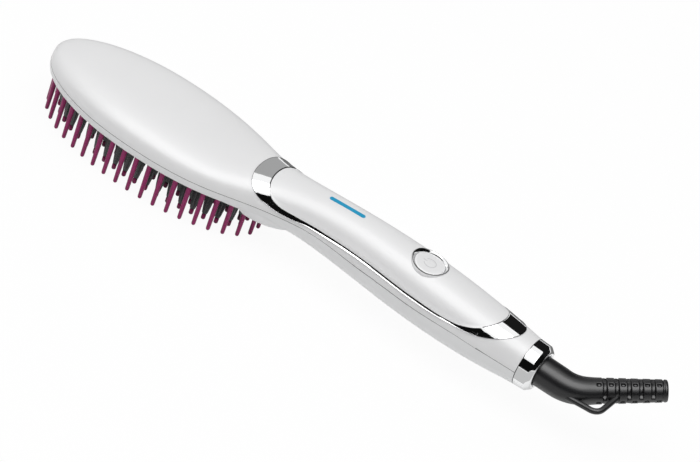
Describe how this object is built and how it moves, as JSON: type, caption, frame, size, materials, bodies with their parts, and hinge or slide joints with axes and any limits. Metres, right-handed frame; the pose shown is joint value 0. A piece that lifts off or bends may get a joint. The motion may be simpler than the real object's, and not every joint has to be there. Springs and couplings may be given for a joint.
{
  "type": "heated straightening brush",
  "caption": "Electric hair straightening brush: oval head with guard pins around heated teeth, contoured handle with a push button, swivelling cord boot with a hanging loop.",
  "frame": {"origin": "under the middle of the brush, at the level of the pin tips that it rests on", "axes": "+X from the head towards the cord end, +Z from the pins towards the back of the head"},
  "size_m": [0.3341, 0.0596, 0.0441],
  "materials": {
    "pearl_shell": "pearl",
    "belly_shell": "satin",
    "plating": "mirror",
    "light_pipe": "frosted",
    "nylon": "satin",
    "frame_plastic": "satin",
    "coated_metal": "satin",
    "ceramic": "fired",
    "mica": "satin",
    "sheet_metal": "zinc plated",
    "board": "solder mask",
    "component": "moulded",
    "wire": "silicone",
    "bearing_plastic": "moulded",
    "contact_metal": "polished",
    "boot_rubber": "satin"
  },
  "bodies": {
    "housing": {"upper_shell": "pearl_shell", "top_panel": "pearl_shell", "lower_shell": "belly_shell", "screw_plug": "belly_shell", "chrome_trim": "plating", "button_ring": "plating", "end_collar": "plating", "led_window": "light_pipe", "status_led": "light_pipe", "guard_pins": "nylon", "tooth_tips": "nylon", "pin_frame": "frame_plastic", "heating_plate": "coated_metal", "heated_teeth": "coated_metal", "ptc_heaters": "ceramic", "mica_sheet": "mica", "clamp_plate": "sheet_metal", "clamp_screws": "sheet_metal", "board_screws": "sheet_metal", "case_screw": "sheet_metal", "control_board": "board", "switch_body": "component", "capacitor": "component", "triac": "component", "contact_block": "component", "thermistor": "component", "thermal_fuse": "component", "heater_leads": "wire", "supply_leads": "wire", "swivel_bush": "bearing_plastic", "contact_springs": "contact_metal"},
    "button": {"power_button": "pearl_shell", "switch_plunger": "component"},
    "cord_end": {"swivel_spindle": "bearing_plastic", "slip_rings": "contact_metal", "retaining_clip": "sheet_metal", "strain_relief_boot": "boot_rubber", "hanging_loop": "boot_rubber"}
  },
  "joints": [
    {"name": "power_press", "type": "slide", "parent": "housing", "child": "button", "axis": [0, 0, -1], "range_m": [0, 0.0008], "stiffness_N_per_m": 1500},
    {"name": "cord_swivel", "type": "hinge", "parent": "housing", "child": "cord_end", "pos_m": [0.10498, 0, 0.0258], "axis": [1, 0, 0], "continuous": true}
  ]
}
